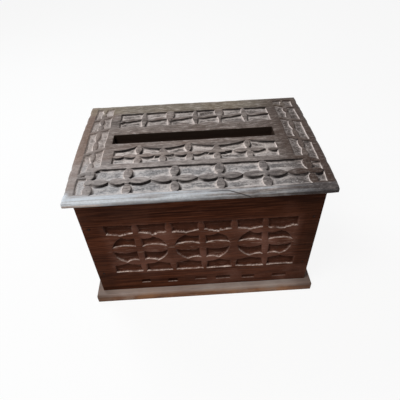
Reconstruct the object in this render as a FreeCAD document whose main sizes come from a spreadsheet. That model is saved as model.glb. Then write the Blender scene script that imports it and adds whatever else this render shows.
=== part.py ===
import FreeCAD, Part
import os
import re

# Carved wooden box with a long slot in its hinged lid, in millimetres.
# The origin is the middle of the base board's underside, with X to the right along
# the front, Y to the rear and Z up.

os.makedirs("parts", exist_ok=True)
document = FreeCAD.newDocument("carved_slot_box")
sizes = document.addObject("Spreadsheet::Sheet", "sizes")

# Sizes that are set by hand. Everything else follows from them.
DRIVING_SIZES = {
    # Walls: the front and back run the full length, with rabbets that take the sides.
    "box_length": 248,
    "box_width": 158,
    "wall_height": 148.5,
    "front_thick": 10,
    "side_thick": 15,
    "rabbet_depth": 5,
    # Base board, wider than the walls all round.
    "base_thick": 13,
    "base_end_ledge": 7.5,
    "base_front_ledge": 7,
    "base_edge_round": 2.5,
    # Lid board: crowned from front to back, with a rounded nose all round.
    "lid_edge_thick": 10,
    "lid_crown": 2.5,
    "lid_end_overhang": 6,
    "lid_front_overhang": 10,
    "lid_edge_round": 4,
    "lid_seat_gap": 0.2,
    # Slot through the lid, a little off centre.
    "slot_end_margin": 20,
    "slot_width": 17.6,
    "slot_shift_x": -3,
    "slot_shift_y": 7.6,
    # Carved field of a wall: a row of rosettes between two rows of spandrels.
    "wall_carve_depth": 3,
    "field_mid_height": 72,
    "field_height": 78,
    "front_field_margin": 22,
    "side_field_margin": 6,
    "node_land": 6.4,
    "rosette_round": 22,
    "rosette_waist": 17,
    "hump_round": 14,
    "spandrel_crown": 27,
    "spandrel_round": 45,
    "bar_width": 7,
    "bar_end_width": 3,
    "petal_height": 12,
    # Row of gouged notches under the front's field.
    "notch_length": 15,
    "notch_height": 5,
    "notch_depth": 1.5,
    "notch_pitch": 32,
    "notch_shift": 9,
    "notch_mid_height": 13,
    # Carved bands of the lid.
    "lid_carve_depth": 2,
    "lid_front_border": 6.5,
    "lid_end_border": 9,
    "front_band_width": 37,
    "side_band_width": 21,
    "lid_rail": 7.5,
    "lid_stile": 12.5,
    "lid_rear_plain": 24,
    "cross_end": 13,
    "cross_petal_width": 9,
    "leaf_width": 8,
    "spine_width": 6,
    "lid_bar_width": 7,
    "lid_bar_end_width": 4,
    # Battens under the lid, clear of the walls.
    "batten_width": 9,
    "batten_height": 8,
    "batten_wall_gap": 2,
    "batten_end_gap": 4,
    # Butt hinges with three knuckles.
    "hinge_length": 32,
    "hinge_end_distance": 54,
    "hinge_leaf_width": 14,
    "hinge_leaf_thick": 1.2,
    "knuckle_radius": 2.5,
    "middle_knuckle": 12,
    "hinge_pin_radius": 1.2,
    "hinge_drop": 1.3,
    "knuckle_gap": 0.3,
    "pin_clearance": 0.05,
    "mortise_clearance": 0.1,
    # Fasteners.
    "wall_pin_radius": 1.2,
    "wall_pin_length": 28,
    "wall_pin_low": 34,
    "wall_pin_high": 109.5,
    "base_screw_head": 7,
    "base_screw_shank": 3.5,
    "base_screw_length": 30,
    "base_screw_sink": 0.4,
    "base_screw_front_spacing": 140,
    "base_screw_side_spacing": 80,
    "batten_screw_head": 5.6,
    "batten_screw_shank": 3,
    "batten_screw_length": 13,
    "batten_screw_spacing": 90,
    "hinge_screw_head": 4.4,
    "hinge_screw_shank": 2.4,
    "hinge_screw_length": 8,
    "hinge_screw_spacing": 11,
    "screw_slot_width": 0.8,
    "screw_slot_depth": 0.6,
    "screw_clearance": 0.05,
}

# Sizes that follow from the driving ones.
DERIVED_SIZES = {
    "base_length": "box_length + 2 * base_end_ledge",
    "base_width": "box_width + 2 * base_front_ledge",
    "inside_length": "box_length - 2 * side_thick",
    "inside_width": "box_width - 2 * front_thick",
    "side_length": "inside_width + 2 * rabbet_depth",
    "wall_top": "base_thick + wall_height",
    "lid_length": "box_length + 2 * lid_end_overhang",
    "lid_width": "box_width + 2 * lid_front_overhang",
    "lid_bottom": "wall_top + lid_seat_gap",
    "lid_thick": "lid_edge_thick + lid_crown",
    "crown_radius": "(lid_width ^ 2 / 4 + lid_crown ^ 2) / (2 * lid_crown)",
    "crown_axis": "lid_bottom + lid_thick - crown_radius",
    "slot_length": "inside_length - 2 * slot_end_margin",
    "slot_front": "slot_shift_y - slot_width / 2",
    "slot_rear": "slot_shift_y + slot_width / 2",
    "front_pitch": "(box_length - 2 * front_field_margin) / 3",
    "side_pitch": "(side_length - 2 * side_field_margin) / 2",
    "front_band_length": "lid_length - 2 * lid_end_border",
    "front_band_front": "lid_front_border - lid_width / 2",
    "front_band_rear": "front_band_front + front_band_width",
    "cross_pitch": "(front_band_length - 2 * cross_end) / 5",
    "side_band_middle": "lid_length / 2 - lid_end_border - side_band_width / 2",
    "side_band_front": "front_band_rear + lid_rail",
    "side_band_rear": "lid_width / 2 - lid_front_border",
    "inner_band_length": "2 * (side_band_middle - side_band_width / 2 - lid_stile)",
    "inner_rear_end": "lid_width / 2 - lid_rear_plain",
    "axis_y": "box_width / 2 + knuckle_radius + knuckle_gap",
    "axis_z": "wall_top - hinge_drop",
    "end_knuckle": "(hinge_length - middle_knuckle) / 2 - knuckle_gap",
    "batten_x": "inside_length / 2 - batten_wall_gap - batten_width / 2",
    "batten_length": "inside_width - 2 * batten_end_gap",
    "hinge_x": "box_length / 2 - hinge_end_distance",
    "wall_pin_x": "box_length / 2 - side_thick / 2",
    "front_mid_y": "box_width / 2 - front_thick / 2",
}


def fill_sheet():
    """Write the driving numbers and the derived formulas into the sheet, one per row."""
    for row, (name, value) in enumerate(DRIVING_SIZES.items(), start=1):
        sizes.set(f"A{row}", name)
        sizes.set(f"B{row}", str(value))
        sizes.setAlias(f"B{row}", name)
    for row, (name, rule) in enumerate(DERIVED_SIZES.items(), start=1):
        sizes.set(f"D{row}", name)
        sizes.set(f"E{row}", "=" + rule)
        sizes.setAlias(f"E{row}", name)
    document.recompute()


def formula(text):
    """Put the sheet's name in front of every size named in the text."""
    def with_sheet(word):
        known = word[0] in DRIVING_SIZES or word[0] in DERIVED_SIZES
        return "sizes." + word[0] if known else word[0]
    return re.sub(r"[a-z]\w*", with_sheet, text)


def bind(item, **rules):
    """Tie an object's properties to the sheet."""
    for name, text in rules.items():
        item.setExpression(name, formula(text))
    return item


def place(item, x="0", y="0", z="0", turn=None):
    """Turn an object, and tie its position to the sheet."""
    if turn is not None:
        item.Placement = FreeCAD.Placement(FreeCAD.Vector(), turn)
    for axis, text in zip("xyz", (x, y, z)):
        item.setExpression("Placement.Base." + axis, formula(text))
    return item


def turned(angle, x, y, z):
    """A turn about the axis x, y, z, in degrees."""
    return FreeCAD.Rotation(FreeCAD.Vector(x, y, z), angle)


def block(name, length, width, height, x="0", y="0", z="0"):
    """A box centred on x and y, standing on z."""
    item = document.addObject("Part::Box", name)
    bind(item, Length=length, Width=width, Height=height)
    return place(item, f"({x}) - ({length}) / 2", f"({y}) - ({width}) / 2", z)


def rod(name, radius, height, x="0", y="0", z="0", turn=None):
    """A cylinder that starts at x, y, z and runs along Z, or along the turned Z."""
    item = document.addObject("Part::Cylinder", name)
    bind(item, Radius=radius, Height=height)
    return place(item, x, y, z, turn)


def cone(name, start_radius, end_radius, height, z="0"):
    """A cone or frustum on the Z axis."""
    item = document.addObject("Part::Cone", name)
    bind(item, Radius1=start_radius, Radius2=end_radius, Height=height)
    return place(item, z=z)


def fuse(name, items):
    """Several solids as one."""
    item = document.addObject("Part::MultiFuse", name)
    item.Shapes = items
    return item


def cut(name, base, tool):
    """What is left of the base outside the tool."""
    item = document.addObject("Part::Cut", name)
    item.Base = base
    item.Tool = tool
    return item


def common(name, base, tool):
    """What two solids share."""
    item = document.addObject("Part::Common", name)
    item.Base = base
    item.Tool = tool
    return item


def group(name, items):
    """Separate solids kept together as one node."""
    item = document.addObject("Part::Compound", name)
    item.Links = items
    return item


def copy(name, master, x, y, z, turn=None):
    """One more of a master object, at its own place."""
    item = document.addObject("App::Link", name)
    item.LinkedObject = master
    return place(item, x, y, z, turn)


def rounded_top(name, board, radius_name):
    """Round the edges of a board's top face."""
    document.recompute()
    top = max(board.Shape.Faces, key=lambda face: face.CenterOfMass.z)
    radius = float(sizes.get(radius_name))
    item = document.addObject("Part::Fillet", name)
    item.Base = board
    item.Edges = [
        (number, radius, radius)
        for number, edge in enumerate(board.Shape.Edges, start=1)
        if any(edge.isSame(rim) for rim in top.Edges)
    ]
    return item


def lens(name, length, width, end_width, height, x, y, z, along):
    """A leaf shape between two arcs, as wide as end_width at each end of its length."""
    bulge = f"(({width}) - ({end_width})) / 2"
    radius = f"((({length}) ^ 2 / 4 + ({bulge}) ^ 2) / (2 * ({bulge})))"
    reach = f"({radius} - ({width}) / 2)"
    halves = []
    for side in "+-":
        across = {"x": (x, f"({y}) {side} {reach}"), "y": (f"({x}) {side} {reach}", y)}[along]
        halves.append(rod(f"{name}_arc", radius, height, *across, z))
    return common(name, *halves)


# Screws and pins: each is made once, along +Z with its head's face at the origin, beside
# the slightly larger hole that it goes in, and then copied to its places.


def screw_and_hole(name, head, shank, length):
    """A slotted countersunk wood screw with a pointed tip, and its hole."""
    taper = f"({head} - {shank}) / 2"
    blank = fuse(name + "_blank", [
        cone(name + "_head", f"{head} / 2", f"{shank} / 2", taper),
        rod(name + "_shank", f"{shank} / 2", f"{length} - {shank}"),
        cone(name + "_tip", f"{shank} / 2", f"{shank} / 8", shank, f"{length} - {shank}"),
    ])
    slot = block(name + "_slot", f"2 * {head}", "screw_slot_width", "2 * screw_slot_depth",
                 z="-screw_slot_depth")
    slack = "screw_clearance"
    hole = fuse(name + "_hole", [
        rod(name + "_mouth", f"{head} / 2 + {slack}", head, z=f"-{head}"),
        cone(name + "_sink", f"{head} / 2 + {slack}", f"{shank} / 2 + {slack}", taper),
        rod(name + "_bore", f"{shank} / 2 + {slack}", f"{length} + {slack}"),
    ])
    return cut(name, blank, slot), hole


def set_fasteners(label, master, hole, places, turn=None):
    """Copies of a fastener as one node, and the same copies of its hole as a cutter."""
    pieces = [copy(f"{label}_piece", master, *spot, turn) for spot in places]
    holes = [copy(f"{label}_hole", hole, *spot, turn) for spot in places]
    return group(label, pieces), group(label + "_holes", holes)


def corners(x, y, z):
    """The four mirrored places of a point about the box's middle."""
    return [(f"{along}({x})", f"{across}({y})", z) for along in "+-" for across in "+-"]


def wall_fasteners():
    """Panel pins through the front and back into the sides, and screws up through the base."""
    pin = rod("wall_pin", "wall_pin_radius", "wall_pin_length")
    pin_hole = rod("wall_pin_hole", "wall_pin_radius + screw_clearance",
                   "wall_pin_length + screw_clearance")
    sets = []
    for label, side, angle in (("front_pins", "-", -90), ("back_pins", "", 90)):
        places = [
            (f"{end}wall_pin_x", f"{side}box_width / 2", f"base_thick + {level}")
            for end in ("-", "") for level in ("wall_pin_low", "wall_pin_high")
        ]
        sets.append(set_fasteners(label, pin, pin_hole, places, turned(angle, 1, 0, 0)))
    screw, hole = screw_and_hole(
        "base_screw", "base_screw_head", "base_screw_shank", "base_screw_length")
    places = corners("base_screw_front_spacing / 2", "front_mid_y", "base_screw_sink")
    places += corners("wall_pin_x", "base_screw_side_spacing / 2", "base_screw_sink")
    sets.append(set_fasteners("base_screws", screw, hole, places))
    return sets


# Walls: each is carved lying flat, with its lower edge on the X axis and its outer face
# up, and is then stood in its place.


def rosette(name, middle_x, pitch, floor, depth):
    """Two overlapping rounds, pinched by four humps, with a petal left on each side."""
    inner = f"({pitch} / 2 - node_land / 2)"
    offset = f"({inner} - rosette_round)"
    rounds = []
    humps = []
    petals = []
    for side in "+-":
        x = f"{middle_x} {side} {offset}"
        rounds.append(rod(name + "_round", "rosette_round", depth, x, "field_mid_height", floor))
        for level in "+-":
            y = f"field_mid_height {level} (rosette_waist + hump_round)"
            humps.append(rod(name + "_hump", "hump_round", depth, x, y, floor))
        petals.append(lens(name + "_petal", inner, "petal_height", "bar_end_width", depth,
                           f"{middle_x} {side} {inner} / 2", "field_mid_height", floor, "x"))
    hollow = cut(name, fuse(name + "_rounds", rounds), fuse(name + "_humps", humps))
    return hollow, petals


def spandrel_row(name, level, count, pitch, floor, depth):
    """A row of hollows with a straight outer edge and a scalloped inner edge."""
    tall = "(field_height / 2 - rosette_waist)"
    strip = block(name + "_strip", f"{count} * {pitch}", tall, depth,
                  y=f"field_mid_height {level} (rosette_waist + {tall} / 2)", z=floor)
    crest = f"field_mid_height {level} (spandrel_crown - spandrel_round)"
    scallops = [
        rod(name + "_scallop", "spandrel_round", depth, f"{step} * {pitch} / 2", crest, floor)
        for step in range(-count, count + 1)
    ]
    return cut(name, strip, fuse(name + "_scallops", scallops))


def wall_hollows(label, count, pitch, thick):
    """Everything that the carver takes out of one wall's field."""
    floor = f"{thick} - wall_carve_depth"
    depth = "2 * wall_carve_depth"
    hollows = []
    lands = []
    for index in range(count):
        middle_x = f"({index - (count - 1) / 2}) * {pitch}"
        hollow, petals = rosette(f"{label}_rosette", middle_x, pitch, floor, depth)
        hollows.append(hollow)
        lands += petals
    for level in "+-":
        hollows.append(spandrel_row(f"{label}_spandrels", level, count, pitch, floor, depth))
    for step in range(1 - count, count):
        lands.append(lens(f"{label}_bar", "field_height", "bar_width", "bar_end_width", depth,
                          f"{step} * {pitch} / 2", "field_mid_height", floor, "y"))
    return cut(f"{label}_carving", fuse(f"{label}_hollows", hollows), fuse(f"{label}_lands", lands))


def notch_row():
    """Six gouged notches in a row, each a shallow round scoop along X."""
    radius = "((notch_height ^ 2 / 4 + notch_depth ^ 2) / (2 * notch_depth))"
    level = f"front_thick - notch_depth + {radius}"
    return group("front_notches", [
        rod("front_notch", radius, "notch_length",
            f"notch_shift + ({index - 2.5}) * notch_pitch - notch_length / 2",
            "notch_mid_height", level, turned(90, 0, 1, 0))
        for index in range(6)
    ])


def flat_long_wall():
    """The front and back before they are drilled: rabbeted at both ends for the sides."""
    blank = block("long_wall_blank", "box_length", "wall_height", "front_thick", y="wall_height / 2")
    rabbets = [
        block("long_wall_rabbet", "side_thick", "wall_height", "rabbet_depth",
              f"{end}(box_length - side_thick) / 2", "wall_height / 2")
        for end in "+-"
    ]
    rabbeted = cut("long_wall_rabbeted", blank, group("long_wall_rabbets", rabbets))
    return cut("long_wall", rabbeted, wall_hollows("long_wall", 3, "front_pitch", "front_thick"))


def flat_end_wall():
    """The left and right sides before they are drilled: they fit between the rabbets."""
    blank = block("end_wall_blank", "side_length", "wall_height", "side_thick", y="wall_height / 2")
    return cut("end_wall", blank, wall_hollows("end_wall", 2, "side_pitch", "side_thick"))


def stood(name, flat, inner_face, angle):
    """A flat wall, or its cutter, stood on the base with its inner face at a distance."""
    upright = turned(angle, 0, 0, 1).multiply(turned(90, 1, 0, 0))
    x, y = {0: ("0", f"-({inner_face})"), 180: ("0", inner_face),
            -90: (f"-({inner_face})", "0"), 90: (inner_face, "0")}[angle]
    return copy(name, flat, x, y, "base_thick", upright)


def walls():
    """The four walls in their places, drilled for their pins and screws."""
    long_wall = flat_long_wall()
    end_wall = flat_end_wall()
    long_face = "box_width / 2 - front_thick"
    end_face = "box_length / 2 - side_thick"
    notches = stood("stood_notches", notch_row(), long_face, 0)
    pin_holes = [front_pin_holes, back_pin_holes]
    drilled = []
    for label, flat, face, angle, cutters in (
        ("front_panel", long_wall, long_face, 0, [base_holes, front_pin_holes, notches]),
        ("back_panel", long_wall, long_face, 180, [base_holes, back_pin_holes, box_screw_holes]),
        ("left_panel", end_wall, end_face, -90, [base_holes] + pin_holes),
        ("right_panel", end_wall, end_face, 90, [base_holes] + pin_holes),
    ):
        wall = stood(f"stood_{label}", flat, face, angle)
        drilled.append(cut(label, wall, fuse(f"{label}_cutter", cutters)))
    return drilled


def base_board(holes):
    """A plain board with a rounded top edge, screwed to the walls from below."""
    board = block("base_blank", "base_length", "base_width", "base_thick")
    rounded = rounded_top("base_rounded", board, "base_edge_round")
    return cut("base_board", rounded, holes)


# Hinges: two butt hinges under the lid's rear overhang. The outer knuckles belong to the
# leaf on the back wall and the middle one to the leaf let into the lid.


def knuckle(name, length, x):
    """One rolled knuckle on the hinge axis, from x along its length."""
    return rod(name, "knuckle_radius", length, x, "axis_y", "axis_z", turned(90, 0, 1, 0))


def hinge(side, x, box_holes, lid_holes):
    """The two leaves and the pin of one hinge."""
    left_end = f"({x}) - hinge_length / 2"
    bore = rod(f"{side}_hinge_bore", "hinge_pin_radius + pin_clearance", "hinge_length",
               left_end, "axis_y", "axis_z", turned(90, 0, 1, 0))
    swing = "(knuckle_radius + knuckle_gap)"
    plate_long = f"(hinge_leaf_width - {swing})"
    box_leaf = [block(f"{side}_box_plate", "hinge_length", "hinge_leaf_thick", plate_long, x,
                      "(box_width + hinge_leaf_thick) / 2", "axis_z - hinge_leaf_width")]
    for start in (left_end, f"({x}) + middle_knuckle / 2 + knuckle_gap"):
        box_leaf.append(block(f"{side}_box_tab", "end_knuckle", "hinge_leaf_thick", "hinge_leaf_width",
                              f"{start} + end_knuckle / 2", "(box_width + hinge_leaf_thick) / 2",
                              "axis_z - hinge_leaf_width"))
        box_leaf.append(knuckle(f"{side}_box_knuckle", "end_knuckle", start))
    lid_leaf = [
        block(f"{side}_lid_plate", "hinge_length", plate_long, "hinge_leaf_thick", x,
              f"axis_y - hinge_leaf_width + {plate_long} / 2", "lid_bottom"),
        block(f"{side}_lid_tab", "middle_knuckle", "hinge_leaf_width", "hinge_leaf_thick", x,
              "axis_y - hinge_leaf_width / 2", "lid_bottom"),
        knuckle(f"{side}_lid_knuckle", "middle_knuckle", f"({x}) - middle_knuckle / 2"),
    ]
    pin = rod(f"{side}_hinge_pin", "hinge_pin_radius", "hinge_length",
              left_end, "axis_y", "axis_z", turned(90, 0, 1, 0))
    return [
        cut(f"{side}_hinge_box_leaf", fuse(f"{side}_box_leaf_blank", box_leaf),
            fuse(f"{side}_box_leaf_holes", [bore, box_holes])),
        cut(f"{side}_hinge_lid_leaf", fuse(f"{side}_lid_leaf_blank", lid_leaf),
            fuse(f"{side}_lid_leaf_holes", [bore, lid_holes])),
        pin,
    ]


def hinge_seat(side, x):
    """The mortise for a hinge's leaf in the lid, and the groove over its barrel."""
    swing = "(knuckle_radius + knuckle_gap)"
    long = "(hinge_length + 2 * mortise_clearance)"
    front = "(axis_y - hinge_leaf_width - mortise_clearance)"
    leaf_seat = block(f"{side}_leaf_seat", long, f"axis_y - {front}", "hinge_leaf_thick + lid_seat_gap", x,
                      f"(axis_y + {front}) / 2", "wall_top")
    groove = block(f"{side}_barrel_groove", long, f"2 * {swing}",
                   f"axis_z + {swing} - wall_top", x, "axis_y", "wall_top")
    return [leaf_seat, groove]


def hinge_fasteners():
    """Three small screws in each leaf: into the back wall, and up into the lid."""
    screw, hole = screw_and_hole(
        "hinge_screw", "hinge_screw_head", "hinge_screw_shank", "hinge_screw_length")
    row = "(hinge_leaf_width + knuckle_radius + knuckle_gap) / 2"
    across = [f"{side}hinge_x + ({step}) * hinge_screw_spacing" for side in "-+" for step in (-1, 0, 1)]
    outside = [(x, "box_width / 2 + hinge_leaf_thick", f"axis_z - {row}") for x in across]
    under = [(x, f"axis_y - {row}", "lid_bottom") for x in across]
    return [
        set_fasteners("hinge_box_screws", screw, hole, outside, turned(90, 1, 0, 0)),
        set_fasteners("hinge_lid_screws", screw, hole, under),
    ]


# Lid: one crowned board. Its bands are sunk to a floor that follows the crown, and leave
# crosses, bars and leaves standing.


def cross_band(floor, tall):
    """The front band, with six crosses of petals whose leaves meet tip to tip."""
    middle = "(front_band_front + front_band_rear) / 2"
    band = block("front_band", "front_band_length", "front_band_width", tall, y=middle, z=floor)
    lands = []
    for index in range(6):
        x = f"({index - 2.5}) * cross_pitch"
        for side in "+-":
            lands.append(lens("cross_petal", "front_band_width / 2", "cross_petal_width",
                              "lid_bar_end_width", tall, x, f"{middle} {side} front_band_width / 4",
                              floor, "y"))
            lands.append(lens("cross_leaf", "cross_pitch / 2", "leaf_width", "leaf_width / 6", tall,
                              f"{x} {side} cross_pitch / 4", middle, floor, "x"))
    return band, lands


def barred_band(name, x, start, end, width, count, floor, tall, along):
    """A band crossed by bars, with a leaf from bar to bar along its middle."""
    length = f"(({end}) - ({start}))"
    pitch = f"({length} / {count})"
    middle = f"(({start}) + ({end})) / 2"
    turn = {"x": "y", "y": "x"}[along]

    def spot(step):
        """A place on the band's middle line, counted in bars from its centre."""
        return {"x": (f"{middle} + ({step}) * {pitch}", x), "y": (x, f"{middle} + ({step}) * {pitch}")}[along]

    size = {"x": (length, width), "y": (width, length)}[along]
    band = block(name, *size, tall, *spot(0), floor)
    lands = []
    for index in range(count):
        lands.append(lens(name + "_leaf", pitch, "spine_width", "spine_width / 5", tall,
                          *spot(index - (count - 1) / 2), floor, along))
    for index in range(1, count):
        lands.append(lens(name + "_bar", width, "lid_bar_width", "lid_bar_end_width", tall,
                          *spot(index - count / 2), floor, turn))
    return band, lands


def lid_board(holes):
    """The crowned lid with its slot, carved bands and hinge seats."""
    blank = block("lid_blank", "lid_length", "lid_width", "lid_thick", z="lid_bottom")
    along_x = turned(90, 0, 1, 0)
    crown = rod("lid_crown_round", "crown_radius", "lid_length", "-lid_length / 2", "0", "crown_axis", along_x)
    crowned = common("lid_crowned", blank, crown)
    rounded = rounded_top("lid_rounded", crowned, "lid_edge_round")
    floor = "lid_bottom + lid_edge_thick / 2"
    tall = "lid_thick"
    inner_half = "inner_band_length / 2"
    bands = [
        cross_band(floor, tall),
        barred_band("inner_front_band", "(front_band_rear + slot_front) / 2", f"-{inner_half}", inner_half,
                    "(slot_front - front_band_rear - 2 * lid_rail)", 6, floor, tall, "x"),
        barred_band("inner_rear_band", "(slot_rear + 2 * lid_rail + inner_rear_end) / 2", f"-{inner_half}",
                    inner_half, "(inner_rear_end - slot_rear - 2 * lid_rail)", 6, floor, tall, "x"),
    ]
    for side in ("-", ""):
        bands.append(barred_band("side_band", f"{side}side_band_middle", "side_band_front", "side_band_rear",
                                 "side_band_width", 4, floor, tall, "y"))
    bed = rod("lid_bed", "crown_radius - lid_carve_depth", "lid_length", "-lid_length / 2", "0",
              "crown_axis", along_x)
    hollows = cut("lid_hollows", group("lid_bands", [band for band, lands in bands]), bed)
    lands = fuse("lid_lands", [land for band, lands in bands for land in lands])
    slot = block("lid_slot", "slot_length", "slot_width", "2 * lid_thick",
                 "slot_shift_x", "slot_shift_y", "lid_bottom - lid_thick / 2")
    seats = [piece for side, x in HINGE_SIDES for piece in hinge_seat(side, x)]
    pierced = cut("lid_pierced", rounded, fuse("lid_cutter", [slot] + seats + holes))
    return cut("lid_board", pierced, cut("lid_carving", hollows, lands))


def batten(label, x, holes):
    """A cleat across the lid's underside, which keeps the slotted board flat."""
    blank = block(label + "_blank", "batten_width", "batten_length", "batten_height", x, "0",
                  "lid_bottom - batten_height")
    return cut(label, blank, holes)


def batten_fasteners():
    """Two screws up through each batten into the lid."""
    screw, hole = screw_and_hole(
        "batten_screw", "batten_screw_head", "batten_screw_shank", "batten_screw_length")
    places = corners("batten_x", "batten_screw_spacing / 2", "lid_bottom - batten_height")
    return set_fasteners("batten_screws", screw, hole, places)


def check_and_write(nodes):
    """Stop on any failed object or bad solid, then write one file per node."""
    document.recompute()
    failed = [item.Label for item in document.Objects if {"Invalid", "Error"} & set(item.State)]
    if failed:
        raise RuntimeError("failed objects: " + ", ".join(failed))
    for node in nodes:
        shape = node.Shape
        if shape.isNull() or not shape.isValid() or not shape.Solids:
            raise RuntimeError("bad solid: " + node.Label)
    for node in nodes:
        node.Shape.exportStep(f"parts/{node.Label}.step")
        print(node.Label, len(node.Shape.Solids), round(node.Shape.Volume, 1))


HINGE_SIDES = (("left", "-hinge_x"), ("right", "hinge_x"))

fill_sheet()
(front_pins, front_pin_holes), (back_pins, back_pin_holes), (base_screws, base_holes) = wall_fasteners()
(box_screws, box_screw_holes), (lid_screws, lid_screw_holes) = hinge_fasteners()
batten_screws, batten_holes = batten_fasteners()
nodes = [
    base_board(base_holes),
    *walls(),
    lid_board([lid_screw_holes, batten_holes]),
    batten("left_batten", "-batten_x", batten_holes),
    batten("right_batten", "batten_x", batten_holes),
    front_pins,
    back_pins,
    base_screws,
    box_screws,
    lid_screws,
    batten_screws,
]
for side, x in HINGE_SIDES:
    nodes += hinge(side, x, box_screw_holes, lid_screw_holes)
check_and_write(nodes)
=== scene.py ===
import bpy
import math
import numpy as np
from mathutils import Matrix, Vector


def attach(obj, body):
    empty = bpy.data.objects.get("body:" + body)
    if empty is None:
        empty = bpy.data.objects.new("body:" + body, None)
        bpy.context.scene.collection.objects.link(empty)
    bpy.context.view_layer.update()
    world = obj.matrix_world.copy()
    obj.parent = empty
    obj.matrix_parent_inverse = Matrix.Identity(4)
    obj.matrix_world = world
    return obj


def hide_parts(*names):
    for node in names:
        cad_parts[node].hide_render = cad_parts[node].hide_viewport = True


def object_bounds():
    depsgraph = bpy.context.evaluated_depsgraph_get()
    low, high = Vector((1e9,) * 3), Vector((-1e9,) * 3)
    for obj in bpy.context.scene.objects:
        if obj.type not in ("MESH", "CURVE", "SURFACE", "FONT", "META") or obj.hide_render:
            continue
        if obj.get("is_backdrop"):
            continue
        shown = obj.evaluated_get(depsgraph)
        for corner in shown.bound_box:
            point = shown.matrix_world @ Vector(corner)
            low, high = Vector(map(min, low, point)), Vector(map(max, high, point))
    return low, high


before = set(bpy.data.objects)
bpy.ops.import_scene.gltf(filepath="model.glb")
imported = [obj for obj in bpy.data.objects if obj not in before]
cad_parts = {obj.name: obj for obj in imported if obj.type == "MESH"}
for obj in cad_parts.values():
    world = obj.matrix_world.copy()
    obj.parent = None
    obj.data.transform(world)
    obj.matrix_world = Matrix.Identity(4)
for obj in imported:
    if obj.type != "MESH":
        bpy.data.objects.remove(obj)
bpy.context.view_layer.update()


# Base board: one plain brown-stained board, sawn and planed, with its top edge eased.
# It is wider than the walls all round and is screwed up into them from below.
class Shade:
    """A value in a material's tree, so that sums on it can be written as plain Python."""

    def __init__(self, tree, socket=None):
        self.tree = tree
        self.socket = socket

    def add(self, kind, settings=None, sockets=None, output=0):
        """Add a node: its type, then its settings, then the values or links of its sockets."""
        node = self.tree.nodes.new("ShaderNode" + kind)
        for name, value in (settings or {}).items():
            setattr(node, name, value)
        for name, value in (sockets or {}).items():
            if isinstance(value, Shade):
                self.tree.links.new(value.socket, node.inputs[name])
            else:
                node.inputs[name].default_value = value
        return Shade(self.tree, node.outputs[output])

    def sum(self, operation, first, second):
        """One Math node on two values."""
        return self.add("Math", {"operation": operation}, {0: first, 1: second})

    def __add__(self, other):
        return self.sum("ADD", self, other)

    def __radd__(self, other):
        return self.sum("ADD", other, self)

    def __sub__(self, other):
        return self.sum("SUBTRACT", self, other)

    def __rsub__(self, other):
        return self.sum("SUBTRACT", other, self)

    def __mul__(self, other):
        return self.sum("MULTIPLY", self, other)

    def __rmul__(self, other):
        return self.sum("MULTIPLY", other, self)

    def apart(self, other):
        """How far this value lies from another."""
        return self.sum("ABSOLUTE", self - other, 0)

    def between(self, low, high):
        """0 below low, 1 above high and a smooth step in between."""
        return self.add("MapRange", {"interpolation_type": "SMOOTHSTEP"},
                        {"Value": self, "From Min": low, "From Max": high})

    def within(self, rise, fall):
        """1 inside a band with soft edges: it rises over the first span and falls over the second."""
        return self.between(*rise) * (1 - self.between(*fall))

    def mixed(self, under, over):
        """The under colour where this value is 0, the over colour where it is 1."""
        sides = {0: self}
        for number, colour in ((6, under), (7, over)):
            sides[number] = colour if isinstance(colour, Shade) else (*colour, 1)
        return self.add("Mix", {"data_type": "RGBA"}, sides, output=2)

    def noise(self, scale, detail=4, roughness=0.55):
        """Noise over this vector."""
        return self.add("TexNoise", {}, {"Vector": self, "Scale": scale, "Detail": detail,
                                         "Roughness": roughness})

    def stretched(self, x, y, z):
        """This vector with each axis multiplied, so that a pattern on it is drawn out."""
        return self.add("Mapping", {}, {"Vector": self, "Scale": (x, y, z)})

    def axis(self, number):
        """One axis of this vector: 0, 1 or 2."""
        return self.add("SeparateXYZ", {}, {"Vector": self}, output=number)

    def carved(self, name):
        """A number that the carver left on the mesh, such as how deep a point lies."""
        return self.add("Attribute", {"attribute_name": name}, output=2)


def new_finish(name):
    """An empty material: its shader node and its place, in metres."""
    finish = bpy.data.materials.new(name)
    finish.use_nodes = True
    shader = finish.node_tree.nodes["Principled BSDF"]
    place = Shade(finish.node_tree).add("TexCoord", {}, {}, output=3)
    return finish, shader, place


def wire(shader, **values):
    """Link or set the shader's own sockets, with underscores for spaces."""
    for name, value in values.items():
        socket = shader.inputs[name.replace("_", " ")]
        if isinstance(value, Shade):
            value.tree.links.new(value.socket, socket)
        else:
            socket.default_value = value


def grain_of(place, along):
    """Wood along one axis: slow streaks, fine fibres and dark pores, each from 0 to 1."""
    def drawn_out(lengthways, crossways):
        return place.stretched(*(lengthways if axis == along else crossways for axis in "xyz"))
    streaks = drawn_out(5, 90).noise(1, 3, 0.6)
    fibres = drawn_out(26, 560).noise(1, 3, 0.6)
    pores = drawn_out(90, 1500).noise(1, 2, 0.5).between(0.6, 0.74)
    return streaks, fibres, pores


def bumped(height, strength, distance):
    """A bump from a height, as a normal."""
    return height.add("Bump", {}, {"Height": height, "Strength": strength, "Distance": distance})


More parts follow.
